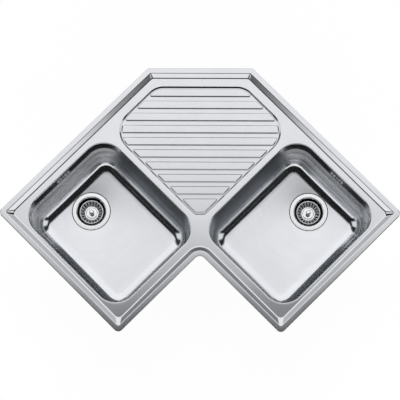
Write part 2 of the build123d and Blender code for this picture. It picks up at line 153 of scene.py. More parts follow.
# brushed steel of the deck, bowls and strainers; two numbers are where a change starts and ends,
# in metres of height or distance from the room's walls, but for the facing and the streaks
steel = {
    "deck": {
        "light": (0.66, 0.668, 0.686), "dark": (0.595, 0.605, 0.626), "rough": 0.07,
        "grain": (60, 2600, 2600), "grainHeight": 1e-6, "waves": 5, "waveHeight": 0.0004,
    },
    "bowl": {
        "light": (0.72, 0.73, 0.75), "dark": (0.64, 0.655, 0.68), "rough": 0.09,
        "grain": (14, 14, 1500), "grainHeight": 3e-7, "waves": 6, "waveHeight": 0.0003,
        "wallFoot": (-0.18, -0.16),
        # the darker colour of the wall beside the drainer is painted shade
        "dullShade": (0.31, 0.335, 0.355), "dullRough": 0.24, "drainerWall": (0.515, 0.49),
        # the whitish colour of the wall with the overflow is a painted sheen, and its extra roughness is a
        # real satin finish
        "satinSheen": (0.93, 0.94, 0.96), "satinRough": 0.25, "satinMatt": 0.75, "overflowWall": (0.135, 0.085),
        "satinSheenTop": (-0.046, -0.06), "facing": (0.2, -0.2),
        "streakScale": (0.8, 0.8, 26), "streakEdges": (0.34, 0.66), "streakBase": 0.35,
    },
    "cup": {
        "light": (0.92, 0.925, 0.93), "dark": (0.85, 0.855, 0.87), "rough": 0.12,
        "grain": (900, 900, 900), "grainHeight": 4e-6, "waves": 40, "waveHeight": 0.00002,
        # the nearly black colour of the cup's well is painted shade
        "dullShade": (0.07, 0.072, 0.075), "dullRough": 0.1, "well": (-0.195, -0.202),
    },
    "basket": {
        "light": (0.93, 0.935, 0.94), "dark": (0.86, 0.865, 0.87), "rough": 0.1,
        "grain": (900, 900, 900), "grainHeight": 3e-6, "waves": 40, "waveHeight": 0.00002,
        # the whitish, less metallic satin of the cone is a painted highlight on its ribs, and its extra
        # roughness is real
        "satinSheen": (0.93, 0.935, 0.945), "satinRough": 0.41, "satinMatt": 0.85,
        "coneFoot": (-0.2147, -0.212), "coneTop": (-0.1972, -0.1985),
    },
}
wear = {"grainShare": 0.6, "patchShare": 0.4, "edges": (0.3, 0.7), "grainRough": 0.06, "patchRough": 0.03}


def bowlMasks(look, place):
    east, north, up = place.axes()
    side, fall = east.maths("ABSOLUTE"), plan["cornerY"] / 1000 - north
    along, across = (fall + side) * sqrt(0.5), (fall - side) * sqrt(0.5)
    walls, rear = up.smooth(*look["wallFoot"]), across.smooth(*look["overflowWall"])
    # the wall beside the drainer is brushed duller than the others, and painted darker as painted shade
    dullShade = walls * along.smooth(*look["drainerWall"]) * (1 - rear)
    # and the one with the overflow is satin below its holes, rougher and less metallic, with a painted
    # whitish sheen in long painted streaks, but not outside
    facingEast, facingNorth, _ = place.node("ShaderNodeTexCoord", take=1).axes()
    inner = (facingEast * east.maths("SIGN") + facingNorth).smooth(*look["facing"])
    sheenStreaks = place.stretched(look["streakScale"]).noise(1, 1, 0.4).smooth(*look["streakEdges"])
    below = up.smooth(*look["satinSheenTop"])
    satinSheen = walls * (rear * inner) * below * (look["streakBase"] + sheenStreaks * (1 - look["streakBase"]))
    return dullShade, satinSheen


def steelMasks(kind, look, place):
    # where this steel is duller and painted darker as painted shade, and where it is satin with a painted
    # whitish sheen, or None for nowhere
    if kind == "deck":
        return None, None
    if kind == "bowl":
        return bowlMasks(look, place)
    up = place.axes()[2]
    # the cup's well, low down, is painted nearly black as painted shade, and is rougher
    if kind == "cup":
        return up.smooth(*look["well"]), None
    # only the basket's slotted cone is satin, made whitish and less metallic as a painted highlight on its
    # ribs; its rim and floor are bright
    return None, up.smooth(*look["coneFoot"]) * up.smooth(*look["coneTop"])


def steelMaterial(kind):
    look = steel[kind]
    material, shader, place = newMaterial(kind + "Steel")
    grain = place.stretched(look["grain"]).noise(1, 3, 0.6)
    patches = place.noise(look["waves"] * 2, 3)
    worn = (grain * wear["grainShare"] + patches * wear["patchShare"]).smooth(*wear["edges"])
    broad = place.noise(look["waves"], 1, 0.4).bump(1, look["waveHeight"])
    colour = worn.mix(look["dark"], look["light"])
    rough = look["rough"] + grain * wear["grainRough"] + patches * wear["patchRough"]
    metal = 1.0
    dullShade, satinSheen = steelMasks(kind, look, place)
    if satinSheen:
        # where satin, the whitish colour is a painted sheen and the roughness a real finish
        colour = satinSheen.mix(colour, look["satinSheen"])
        rough = rough + satinSheen * look["satinRough"]
        metal = 1 - satinSheen * look["satinMatt"]
    if dullShade:
        # where dull, the darker colour is painted shade and the roughness a real finish
        colour = dullShade.mix(colour, look["dullShade"])
        rough = rough + dullShade * look["dullRough"]
    put(shader, Base_Color=colour, Metallic=metal, Roughness=rough,
        Normal=grain.bump(1, look["grainHeight"], broad))
    return material


# finishes of the knobs, the clips and the moulded pieces
polish = {
    "dark": (0.80, 0.805, 0.815), "light": (0.88, 0.885, 0.89), "marks": 700,
    "rough": 0.07, "markRough": 0.08, "waves": 300, "waveStrength": 0.15, "waveHeight": 0.00004,
}
zinc = {
    "dark": (0.50, 0.51, 0.52), "light": (0.68, 0.69, 0.68), "clouds": 180, "cloudEdges": (0.35, 0.65),
    "rough": 0.36, "cloudRough": 0.12, "pebble": 1400, "pebbleStrength": 0.25, "pebbleHeight": 0.00005,
}
moulded = {"clouds": 55, "cloudEdges": (0.35, 0.65), "cloudRough": 0.1, "pebbleStrength": 0.5,
           "waves": 30, "waveStrength": 0.4, "waveHeight": 0.0003}
mouldings = {
    "rubber_seal": {"name": "sealRubber", "pale": (0.035, 0.035, 0.038), "dark": (0.02, 0.02, 0.022),
                    "rough": 0.5, "pebble": 900, "pebbleHeight": 0.0001},
    "foam_strip": {"name": "stripFoam", "pale": (0.11, 0.11, 0.115), "dark": (0.06, 0.06, 0.063),
                   "rough": 0.85, "pebble": 1500, "pebbleHeight": 0.0006},
    "sound_pad": {"name": "padBitumen", "pale": (0.15, 0.15, 0.155), "dark": (0.09, 0.09, 0.095),
                  "rough": 0.75, "pebble": 420, "pebbleHeight": 0.0005},
    "waste_plastic": {"name": "wastePlastic", "pale": (0.80, 0.80, 0.785), "dark": (0.74, 0.74, 0.72),
                      "rough": 0.38, "pebble": 1100, "pebbleHeight": 0.00006},
    "pipe_plastic": {"name": "pipePlastic", "pale": (0.83, 0.83, 0.815), "dark": (0.77, 0.77, 0.75),
                     "rough": 0.3, "pebble": 700, "pebbleHeight": 0.00004},
}


def polishedMaterial(name, look):
    material, shader, place = newMaterial(name)
    marks = place.noise(look["marks"])
    put(shader, Base_Color=marks.mix(look["dark"], look["light"]), Metallic=1.0,
        Roughness=look["rough"] + marks * look["markRough"],
        Normal=place.noise(look["waves"]).bump(look["waveStrength"], look["waveHeight"]))
    return material


def zincMaterial(name, look):
    # dull plating with the cloudy patches of a barrel-plated part
    material, shader, place = newMaterial(name)
    cloud = place.noise(look["clouds"], 3).smooth(*look["cloudEdges"])
    put(shader, Base_Color=cloud.mix(look["dark"], look["light"]), Metallic=1.0,
        Roughness=look["rough"] + cloud * look["cloudRough"],
        Normal=place.noise(look["pebble"]).bump(look["pebbleStrength"], look["pebbleHeight"]))
    return material


def mouldedMaterial(look):
    # plastics, rubbers and pads: two close shades, a fine pebble and a broad unevenness
    material, shader, place = newMaterial(look["name"])
    cloud = place.noise(moulded["clouds"], 4).smooth(*moulded["cloudEdges"])
    broad = place.noise(moulded["waves"]).bump(moulded["waveStrength"], moulded["waveHeight"])
    put(shader, Base_Color=cloud.mix(look["dark"], look["pale"]),
        Roughness=look["rough"] + cloud * moulded["cloudRough"],
        Normal=place.noise(look["pebble"]).bump(moulded["pebbleStrength"], look["pebbleHeight"], broad))
    return material


finishes = {
    "deck_steel": steelMaterial("deck"),
    "bowl_steel": steelMaterial("bowl"),
    "strainer_steel": steelMaterial("cup"),
    "basket_steel": steelMaterial("basket"),
    "polished_steel": polishedMaterial("knobSteel", polish),
    "clip_steel": zincMaterial("clipZinc", zinc),
}
for slotName, look in mouldings.items():
    finishes[slotName] = mouldedMaterial(look)
print("materials made:", len(finishes))


# outlines and profiles
def filleted(corners, radii, steps, closed=True):
    # a path through corners with each one rounded, steps + 1 points for a rounded one
    points = []
    for i, corner in enumerate(corners):
        here = Vector(corner)
        if not closed and i in (0, len(corners) - 1):
            points.append(here)
            continue
        come = (here - Vector(corners[i - 1])).normalized()
        leave = (Vector(corners[(i + 1) % len(corners)]) - here).normalized()
        turn = atan2(come.x * leave.y - come.y * leave.x, come.dot(leave))
        side = 1 if turn > 0 else -1
        reach = radii[i] * tan(abs(turn) / 2)
        start = here - come * reach
        middle = start + Vector((-come.y, come.x)) * radii[i] * side
        count = steps[i] if isinstance(steps, (list, tuple)) else steps
        for k in range(count + 1):
            spoke = Matrix.Rotation(turn * k / count, 2) @ (start - middle)
            points.append(middle + spoke)
    return points


def profilePath(*corners):
    # an open path through (across, height, rounding, steps) corners; its ends are bare (across, height)
    whole = [(*corner, 0, 0)[:4] for corner in corners]
    return filleted([c[:2] for c in whole], [c[2] for c in whole], [c[3] for c in whole], closed=False)


def insetLoop(corners, radii, inset, steps, least=plan["leastRound"]):
    # the same outline moved inwards, as the pressing's own outlines are
    moved, rounds = [], []
    for i, corner in enumerate(corners):
        here = Vector(corner)
        come = (here - Vector(corners[i - 1])).normalized()
        leave = (Vector(corners[(i + 1) % len(corners)]) - here).normalized()
        turn = come.x * leave.y - come.y * leave.x
        shift = (Vector((-come.y, come.x)) + Vector((-leave.y, leave.x))) / (1 + come.dot(leave))
        moved.append(here + shift * inset)
        rounds.append(max(radii[i] - inset if turn > 0 else radii[i] + inset, least))
    return filleted(moved, rounds, steps)


def onSink(point):
    # arm coordinates to the sink's own
    x, y = point
    return Vector(((y - x) / sqrt(2), plan["cornerY"] - (x + y) / sqrt(2)))


def drainPlace():
    return onSink((plan["bowlX"], plan["drainY"]))


def rimLoop(inset):
    long, wide, cut = plan["armLength"], plan["armWidth"], plan["rearCut"]
    corners = [(cut, 0), (long, 0), (long, wide), (wide, wide), (wide, long), (0, long), (0, cut)]
    rear, corner, notch = (plan["rearRound"], 6), (plan["cornerRound"], 10), (plan["notchRound"], 12)
    radii, steps = zip(rear, corner, corner, notch, corner, corner, rear)
    least = max(plan["leastRound"], inset * rim["cornerGrowth"])
    return [onSink(p) for p in insetLoop(corners, radii, inset, steps, least)]


def bowlLoop(inset):
    # extra points on the straight sides leave a window for the overflow in the wall side
    halfX, halfY = plan["bowlAlong"] / 2 - inset, plan["bowlAcross"] / 2 - inset
    x, y, steps = plan["bowlX"], plan["bowlY"], plan["bowlArcSteps"]
    corners = [(x + halfX * h, y + halfY * v) for h, v in ((-1, -1), (1, -1), (1, 1), (-1, 1))]
    bare = filleted(corners, [max(plan["bowlRound"] - inset, plan["leastRound"])] * 4, steps)
    points = []
    for first in range(0, len(bare), steps + 1):
        arc = bare[first:first + steps + 1]
        nextArc = bare[(first + steps + 1) % len(bare)]
        points += arc + [arc[-1].lerp(nextArc, part) for part in plan["bowlSideParts"]]
    return [onSink(p) for p in points]


def clipped(points, normal, reach):
    # what a convex polygon keeps on the inner side of a line
    kept = []
    for here, after in zip(points, points[1:] + points[:1]):
        a, b = here.dot(normal) - reach, after.dot(normal) - reach
        if a <= 0:
            kept.append(here)
        if (a < 0 < b) or (b < 0 < a):
            kept.append(here.lerp(after, a / (a - b)))
    return kept


def padded(points, rounding, arcSteps):
    # a convex polygon as (core point, outward direction) pairs: core + direction * rounding
    # is its outline with rounded corners, and a smaller or larger rounding moves it in or out
    core = list(points)
    for here, after in zip(points, points[1:] + points[:1]):
        edge = after - here
        if edge.length < 1e-6:
            continue
        normal = Vector((edge.y, -edge.x)).normalized()
        core = clipped(core, normal, here.dot(normal) - rounding)
    tidy = [p for i, p in enumerate(core) if (p - core[i - 1]).length > 1e-4]
    pairs = []
    for i, here in enumerate(tidy):
        come = (here - tidy[i - 1]).normalized()
        leave = (tidy[(i + 1) % len(tidy)] - here).normalized()
        first = Vector((come.y, -come.x))
        turn = atan2(come.x * leave.y - come.y * leave.x, come.dot(leave))
        count = max(1, round(arcSteps * turn / (pi / 2))) if turn > radians(12) else 1
        for k in range(count + 1):
            pairs.append((here, Matrix.Rotation(turn * k / count, 2) @ first))
    return pairs


def raised(points, height):
    # flat points lifted to a height, which may be a function of the point
    return [Vector((p.x, p.y, height(p) if callable(height) else height)) for p in points]


def inside(point, loop):
    # whether a flat point is inside a loop: a ray from it crosses the loop an odd number of times
    hit = False
    for a, b in zip(loop, loop[1:] + loop[:1]):
        if (a.y > point.y) != (b.y > point.y):
            if point.x < a.x + (point.y - a.y) * (b.x - a.x) / (b.y - a.y):
                hit = not hit
    return hit


skinEdges = {"weld": 2e-6, "sharp": radians(38), "flatWeight": 80}


class Skin:
    # points in mm and the faces between them, each with its outside up
    def __init__(self):
        self.points = []
        self.faces = []

    def ring(self, points):
        first = len(self.points)
        self.points += points
        return list(range(first, len(self.points)))

    def strip(self, rings, skip=()):
        for row, (a, b) in enumerate(zip(rings, rings[1:])):
            for i in range(len(a)):
                j = (i + 1) % len(a)
                if (row, i) not in skip:
                    self.faces.append((a[i], a[j], b[j], b[i]))

    def rows(self, rings):
        made = [self.ring(r) for r in rings]
        self.strip(made)
        return made

    def fill(self, outer, holes=(), flat=lambda p: p.xy):
        # the area inside the outer ring and outside the others, told apart in the plane that flat gives
        loops = [outer, *holes]
        order = [i for loop in loops for i in loop]
        spots = [flat(self.points[i]) for i in order]
        edges, start = [], 0
        for loop in loops:
            edges += [(start + k, start + (k + 1) % len(loop)) for k in range(len(loop))]
            start += len(loop)
        places, _, faces, source, _, _ = delaunay_2d_cdt(spots, edges, [], 1, 1e-7)
        bounds = [flat(self.points[i]) for i in outer]
        gaps = [[flat(self.points[i]) for i in hole] for hole in holes]
        for face in faces:
            middle = sum((places[i] for i in face), Vector((0, 0))) / len(face)
            if inside(middle, bounds) and not any(inside(middle, gap) for gap in gaps):
                self.faces.append(tuple(order[source[i][0]] for i in face))

    def turned(self, profile, count, middle):
        # rings about an upright axis, from (radius, height) points going inwards
        made = []
        for radius, height in profile:
            if radius < 1e-6:
                made.append(self.ring([Vector((*middle, height))]) * count)
                continue
            turns = [2 * pi * k / count for k in range(count)]
            spots = [Vector((middle.x + radius * cos(turn), middle.y + radius * sin(turn), height))
                     for turn in turns]
            made.append(self.ring(spots))
        self.strip(made)
        return made

    def build(self, name, material, body, stands, thick=0, flip=False, mirrored=False):
        side = -1 if mirrored else 1
        mesh = bpy.data.meshes.new(name)
        faces = []
        for face in self.faces:
            corners = [i for k, i in enumerate(face) if i != face[k - 1]]
            if len(corners) > 2:
                faces.append(corners if flip == mirrored else corners[::-1])
        spots = [(p.x * side / 1000, p.y / 1000, p.z / 1000) for p in self.points]
        mesh.from_pydata(spots, [], faces)
        piece = bpy.data.objects.new(name, mesh)
        bpy.context.collection.objects.link(piece)
        weld = piece.modifiers.new("weld", "WELD")
        weld.merge_threshold = skinEdges["weld"]
        if thick:
            shell = piece.modifiers.new("sheet", "SOLIDIFY")
            shell.thickness = thick / 1000
            shell.offset = -1
            shell.use_even_offset = True
        graph = bpy.context.evaluated_depsgraph_get()
        fixed = bpy.data.meshes.new_from_object(piece.evaluated_get(graph))
        piece.modifiers.clear()
        piece.data = fixed
        bpy.data.meshes.remove(mesh)
        fixed.name = name
        fixed.shade_smooth()
        fixed.set_sharp_from_angle(angle=skinEdges["sharp"])
        fixed.materials.clear()
        fixed.materials.append(material)
        even = piece.modifiers.new("normals", "WEIGHTED_NORMAL")
        even.keep_sharp = True
        even.weight = skinEdges["flatWeight"]
        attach(piece, body)
        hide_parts(*stands)


# deck: rim, slope, bowl lips and drainer, pressed from one sheet
rim = {
    "foot": 0.3, "height": 3, "edgeRound": 2.2, "band": 16, "bandRound": 3.2,
    "slope": 13, "footRound": 5.5, "margin": 3, "cornerGrowth": 0.45,
}
lip = {"start": 7, "round": 2.6, "collar": 12}
drainer = {
    "margin": 54, "bowlGap": 20, "tipWidth": 31, "rearRound": 57, "sideRound": 70, "tipRound": 12,
    "rearDepth": 2.2, "tipDepth": 5, "ribMargin": 7, "ribPitch": 36.5, "ribWidth": 22.4, "ribRise": 1.8,
    "ribRound": 3, "ribFlank": 1.5, "frontFlank": 0.35, "wallRun": 4.4, "edgeRound": 0.6,
}
drainer["far"] = plan["bowlX"] - plan["bowlAlong"] / 2 - drainer["bowlGap"]
drainer["rearY"] = plan["cornerY"] - plan["rearCut"] / sqrt(2) - drainer["margin"]
drainer["tipY"] = plan["cornerY"] - drainer["far"] * sqrt(2) + drainer["tipWidth"] / 2


def rimProfile():
    top, deck, foot = rim["height"], plan["deckZ"], rim["band"] + rim["slope"]
    return profilePath((0, rim["foot"]), (0, top, rim["edgeRound"], 6),
                       (rim["band"], top, rim["bandRound"], 4), (foot, deck, rim["footRound"], 4),
                       (foot + rim["margin"], deck))


def lipProfile():
    deck, deep = plan["deckZ"], lip["collar"]
    return profilePath((-lip["start"], deck), (0, deck, lip["round"], 8), (deep * plan["draft"], deck - deep))


def drainerFloor(p):
    part = (drainer["rearY"] - p.y) / (drainer["rearY"] - drainer["tipY"])
    return plan["deckZ"] - drainer["rearDepth"] - (drainer["tipDepth"] - drainer["rearDepth"]) * part


def drainerLoop(inset):
    near, far = drainer["margin"], drainer["far"]
    rear = plan["rearCut"] + near * sqrt(2) - near
    tip = far - drainer["tipWidth"] / sqrt(2)
    corners = [(rear, near), (far, near), (far, tip), (tip, far), (near, far), (near, rear)]
    rear, side, tip = (drainer["rearRound"], 12), (drainer["sideRound"], 16), (drainer["tipRound"], 8)
    radii, steps = zip(rear, side, tip, tip, side, rear)
    return [onSink(p) for p in insetLoop(corners, radii, inset, steps)]


def flankSteps(soft=0.2, steps=4):
    # shares across and up a flank: straight, with a rounded start and end
    low = [(soft * k / steps, soft / (1 - soft) / 2 * (k / steps) ** 2) for k in range(steps + 1)]
    return low + [(1 - across, 1 - up) for across, up in low[::-1]]


def ribOutlines():
    field = drainerLoop(drainer["ribMargin"])
    first, last = drainer["rearY"] - drainer["ribMargin"], drainer["tipY"] + drainer["ribMargin"]
    count = int((first - last) / drainer["ribPitch"])
    outlines = []
    for i in range(count):
        top = first - i * drainer["ribPitch"]
        low = top - drainer["ribWidth"] if i < count - 1 else last   # the last rib is the pointed tip
        bar = clipped(clipped(field, Vector((0, 1)), top), Vector((0, -1)), -low)
        outlines.append(padded(bar, drainer["ribRound"], 5))
    return outlines


def ribEdge(core, out, part):
    # a point this share of the way up a rib's flank; the flank towards the front is the gentler one
    half = drainer["ribFlank"] + drainer["frontFlank"] * max(0, -out.y)
    return core + out * (drainer["ribRound"] + (1 - 2 * part) * half)


def makeDeck():
    skin = Skin()
    rimRings = skin.rows([raised(rimLoop(inset), height) for inset, height in rimProfile()])
    openings = []
    for side in (1, -1):
        loops = [raised([Vector((p.x * side, p.y)) for p in bowlLoop(inset)][::side], height)
                 for inset, height in lipProfile()]
        openings.append(skin.rows(loops)[0])
    # the drainer's wall: a rounded edge, a short flank and a rounded foot
    run, soft = drainer["wallRun"], drainer["edgeRound"]
    wall = []
    for part, fall in flankSteps():
        wall.append(raised(drainerLoop(-soft + (run + soft) * part),
                           lambda p, f=fall: plan["deckZ"] + (drainerFloor(p) - plan["deckZ"]) * f))
    wallRings = skin.rows(wall)
    skin.fill(rimRings[-1], [*openings, wallRings[0]])
    feet = []
    for pairs in ribOutlines():
        loops = []
        for part, lift in flankSteps():
            loops.append(raised([ribEdge(core, out, part) for core, out in pairs],
                                lambda p, up=lift: drainerFloor(p) + drainer["ribRise"] * up))
        ribRings = skin.rows(loops)
        feet.append(ribRings[0])
        skin.fill(ribRings[-1])
    skin.fill(wallRings[-1], feet)
    skin.build("deckSheet", finishes["deck_steel"], "sink", ["deck"], thick=plan["sheet"])


makeDeck()
print("deck made")

# bowls, with the overflow holes and the seat for the strainer
bowl = {
    "footRound": 36, "footSteps": 16, "footRun": 45, "wallHeights": (-94, -139),
    "fall": radians(1.4), "fallStart": 60, "floorParts": (0.12, 0.3, 0.5, 0.7, 0.88), "spokes": 120,
}
overflow = {
    "windowTop": -29, "windowFoot": -47, "holeZ": -38, "holePitch": 10, "places": (-2, -1, 0, 1, 2),
    "holeRound": 2.5, "screwHole": 2.1, "collarRise": 3, "screwRise": 0.6, "points": 24,
}
seat = {"start": 58.8, "edge": 57.9, "round": 57.1, "z": -3, "step": 4, "drainHole": 45}


def bowlProfile():
    # (inset, height) down the wall, round its foot and onto the floor
    draft, top, low = plan["draft"], plan["deckZ"], plan["floorZ"]
    foot = (top - low) * draft
    path = profilePath((lip["collar"] * draft, top - lip["collar"]),
                       (foot, low, bowl["footRound"], bowl["footSteps"]), (foot + bowl["footRun"], low))
    heights = (overflow["windowTop"], overflow["windowFoot"], *bowl["wallHeights"])
    return [path[0], *(((top - height) * draft, height) for height in heights), *path[1:-1]]


def bowlFloor(reach):
    # height at this distance from the drain's axis
    return plan["floorZ"] + (reach - seat["start"]) * tan(bowl["fall"])


def makeWalls(skin, drain):
    rings = []
    for inset, height in bowlProfile():
        # the lowest rings rise with the floor's fall, the upper ones keep their height
        share = min(1, max(0, 1 - (height - plan["floorZ"]) / bowl["fallStart"])) ** 2
        rings.append(skin.ring([
            Vector((p.x, p.y, height + share * (bowlFloor((p - drain).length) - plan["floorZ"])))
            for p in bowlLoop(inset)]))
    # the middle length of the wall side is left open between the window's two rings
    middle = plan["bowlArcSteps"] + len(plan["bowlSideParts"]) // 2
    skin.strip(rings, skip={(1, middle)})
    window = [rings[1][middle], rings[1][middle + 1], rings[2][middle + 1], rings[2][middle]]
    return window, rings[-1]


def collarProfile(size, rise):
    # (radius, depth) from the wall over the raised collar and down into the hole
    return [(size + 1.6, 0), (size + 1.3, -0.1), (size + 1.1, -0.4), (size + 1, 0.4 - rise),
            (size + 0.7, -rise), (size + 0.2, -rise), (size, 0.3 - rise), (size, 0.8)]


def makeOverflow(skin, window):
    # the wall side's own plane: across along the wall, down its slope, back behind it
    a, b, d = (skin.points[window[k]] for k in (0, 1, 3))
    across = (b - a).normalized()
    down = ((d - a) - across * (d - a).dot(across)).normalized()
    back = down.cross(across)
    wallY = plan["bowlY"] - plan["bowlAcross"] / 2 + (plan["deckZ"] - overflow["holeZ"]) * plan["draft"]
    centre = Vector((*onSink((plan["bowlX"], wallY)), overflow["holeZ"]))
    holes = []
    for place in overflow["places"]:
        # each hole has a raised collar that catches the light, but the screw's, in the middle, a low one
        size, rise = overflow["holeRound"], overflow["collarRise"]
        if place == 0:
            size, rise = overflow["screwHole"], overflow["screwRise"]
        rows = []
        for radius, depth in collarProfile(size, rise):
            spots = []
            for k in range(overflow["points"]):
                angle = 2 * pi * k / overflow["points"]
                spots.append(centre + across * (place * overflow["holePitch"] + radius * cos(angle))
                             + down * radius * sin(angle) + back * depth)
            rows.append(skin.ring(spots))
        skin.strip(rows)
        holes.append(rows[0])
    skin.fill(window, holes, flat=lambda p: Vector(((p - a).dot(across), (p - a).dot(down))))


def reachOf(loop, spoke):
    # how far a ray from the origin runs before it meets the loop
    across = Vector((-spoke.y, spoke.x))
    for a, b in zip(loop, loop[1:] + loop[:1]):
        low, high = a.dot(across), b.dot(across)
        if (low > 0) != (high > 0):
            meet = a.lerp(b, low / (low - high))
            if meet.dot(spoke) > 0:
                return meet.length


def makeFloorAndSeat(skin, foot, drain):
    low, shelf = plan["floorZ"], plan["floorZ"] + seat["z"]
    path = profilePath((seat["start"], low), (seat["edge"], low, 0.7, 3),
                       (seat["round"], shelf, 1.0, 4), (seat["round"] - seat["step"], shelf))
    turns = [2 * pi * k / bowl["spokes"] for k in range(bowl["spokes"])]
    spokes = [Vector((cos(turn), sin(turn))) for turn in turns]
    seatRings = []
    for radius, height in [*path, (seat["drainHole"], shelf)]:
        seatRings.append(skin.ring([Vector((*(drain + spoke * radius), height)) for spoke in spokes]))
    skin.strip(seatRings)
    # the floor falls from the foot of the walls to the seat, on lines that run to the drain
    footLoop = [skin.points[i].xy - drain for i in foot]
    lengths = [reachOf(footLoop, spoke) for spoke in spokes]
    floorRings = []
    for part in bowl["floorParts"]:
        spots = []
        for spoke, length in zip(spokes, lengths):
            reach = length + (seat["start"] - length) * part
            spots.append(Vector((*(drain + spoke * reach), bowlFloor(reach))))
        floorRings.append(skin.ring(spots))
    skin.strip([*floorRings, seatRings[0]])
    skin.fill(foot, [floorRings[0]])


def makeBowl(side):
    skin = Skin()
    drain = drainPlace()
    window, foot = makeWalls(skin, drain)
    makeOverflow(skin, window)
    makeFloorAndSeat(skin, foot, drain)
    skin.build(f"{side}BowlShell", finishes["bowl_steel"], "sink", [f"{side}_bowl"],
               thick=plan["sheet"], mirrored=side == "right")


for side in sides:
    makeBowl(side)
print("bowls made")

# strainer cup, basket and knob; heights from here are counted from the bowl floor
strainer = {
    "flange": 56.5, "flangeZ": -0.5, "flangeDrop": 0.9, "flangeRound": 0.8, "mouth": 42.3, "mouthRound": 3.5,
    "cupFloor": 39.7, "cupRound": 2.5, "cupZ": -39, "sump": 21, "sumpRound": 1.2, "sumpZ": -45, "shelf": 3.5,
    "hole": 4.2, "holeRing": 14.4, "holes": 6, "screwHole": 6.6, "holeEdge": (0.2, 0.25),
    "turnedIn": 120, "holeTurnedIn": 28, "thick": 1.0,
}
basket = {
    "rim": 35.5, "rimWidth": 1.9, "rimZ": -11, "rimDrop": 0.9, "rimBend": 0.6, "floor": 20.5, "floorZ": -30,
    "floorBend": 0.8, "slots": 20, "slotHalf": 1.5, "slotWiden": 0.9, "slotStart": 22.6, "slotEnd": 32.2,
    "slotEdge": (-0.12, 0.2), "stemHole": 4.1, "stepInner": 15.5, "stepRun": 1.6, "stepRise": 0.5,
    "perSlot": 6, "thick": 0.9,
}
knob = {
    "top": -8, "dome": 0.25, "domeEdge": 1.5, "round": 7.25, "shoulder": 2.6, "under": 1.2, "low": -14,
    "neck": 3.6, "footRise": 2.5, "foot": 5, "floor": -30, "stem": 4, "washer": 8, "washerFoot": 5.5,
    "stemFoot": -55, "turnedIn": 64,
}


def atFloor(points):
    return [(radius, height + plan["floorZ"]) for radius, height in points]


def makeCup(side):
    s = strainer
    skin = Skin()
    middle = drainPlace()
    shelf = s["sump"] + s["shelf"]
    cup = profilePath(
        (s["flange"], s["flangeZ"] - s["flangeDrop"]), (s["flange"], s["flangeZ"], s["flangeRound"], 4),
        (s["mouth"], s["flangeZ"], s["mouthRound"], 8), (s["cupFloor"], s["cupZ"], s["cupRound"], 6),
        (shelf, s["cupZ"]))
    sump = profilePath(
        (shelf, s["cupZ"]), (s["sump"], s["cupZ"], s["sumpRound"], 4),
        (s["sump"] - 0.4, s["sumpZ"], s["sumpRound"], 4), (s["sump"] - 2, s["sumpZ"]))
    rings = skin.turned(atFloor([*cup, *sump[1:]]), s["turnedIn"], middle)
    # a ring of holes round the screw's
    widen, drop = s["holeEdge"]
    spots = [(s["screwHole"], middle)]
    for k in range(1, s["holes"] + 1):
        angle = 2 * pi * k / s["holes"]
        spots.append((s["hole"], middle + Vector((cos(angle), sin(angle))) * s["holeRing"]))
    holes = []
    for size, spot in spots:
        edge = atFloor([(size + widen, s["sumpZ"]), (size, s["sumpZ"] - drop)])
        holes.append(skin.turned(edge, s["holeTurnedIn"], spot)[0])
    skin.fill(rings[-1], holes)
    skin.build(f"{side}StrainerCup", finishes["strainer_steel"], "sink",
               [f"{side}_strainer_cup"], thick=s["thick"], mirrored=side == "right")


def basketHeight(radius):
    # the cone between the basket's floor and its rim
    part = (radius - basket["floor"]) / (basket["rim"] - basket["rimWidth"] - basket["floor"])
    return basket["floorZ"] + (basket["rimZ"] - basket["floorZ"]) * part


def makeSlot(skin, outline, turn, middle):
    # a slot's edge, bent a little down into the cone
    start, end = basket["slotStart"], basket["slotEnd"]
    centre = Vector(((start + end) / 2, 0))
    rows = []
    for grow, drop in ((0, 0), basket["slotEdge"]):
        spots = []
        for p in outline:
            flat = p + (p - centre).normalized() * grow
            spots.append(Vector((*(middle + turn @ flat), basketHeight(flat.length) - drop + plan["floorZ"])))
        rows.append(skin.ring(spots))
    skin.strip(rows)
    return rows[0]


def makeBasket(side):
    b = basket
    skin = Skin()
    middle = drainPlace()
    count = b["slots"] * b["perSlot"]
    inner, outer = b["floor"] + b["floorBend"], b["rim"] - b["rimWidth"] - b["rimBend"]
    top, low, step = b["rimZ"], b["floorZ"], b["floorZ"] + b["stepRise"]
    rimPath = profilePath((b["rim"], top - b["rimDrop"]), (b["rim"], top, 0.5, 4),
                          (b["rim"] - b["rimWidth"], top, 0.8, 4), (outer, basketHeight(outer)))
    floorPath = profilePath((inner, basketHeight(inner)), (b["floor"], low, 0.7, 4),
                            (b["stepInner"] + b["stepRun"], low, 1.0, 3), (b["stepInner"], step, 1.2, 3),
                            (b["stepInner"] - 3, step))
    rimRings = skin.turned(atFloor(rimPath), count, middle)
    floorRings = skin.turned(atFloor([*floorPath, (b["stemHole"], step)]), count, middle)
    # slots, wider at their outer ends, with the cone filled in round them
    half, start, end = b["slotHalf"], b["slotStart"], b["slotEnd"]
    wide = half + b["slotWiden"]
    outline = filleted([(start, -half), (end, -wide), (end, wide), (start, half)], [half * 0.9] * 4, 4)
    for k in range(b["slots"]):
        turn = Matrix.Rotation(2 * pi * (k + 0.5) / b["slots"], 2)
        slot = makeSlot(skin, outline, turn, middle)
        across = [(k * b["perSlot"] + j) % count for j in range(b["perSlot"] + 1)]
        skin.fill([floorRings[0][i] for i in across] + [rimRings[-1][i] for i in across[::-1]], [slot])
    skin.build(f"{side}Basket", finishes["basket_steel"], f"{side}_basket_unit",
               [f"{side}_basket"], thick=b["thick"], mirrored=side == "right")


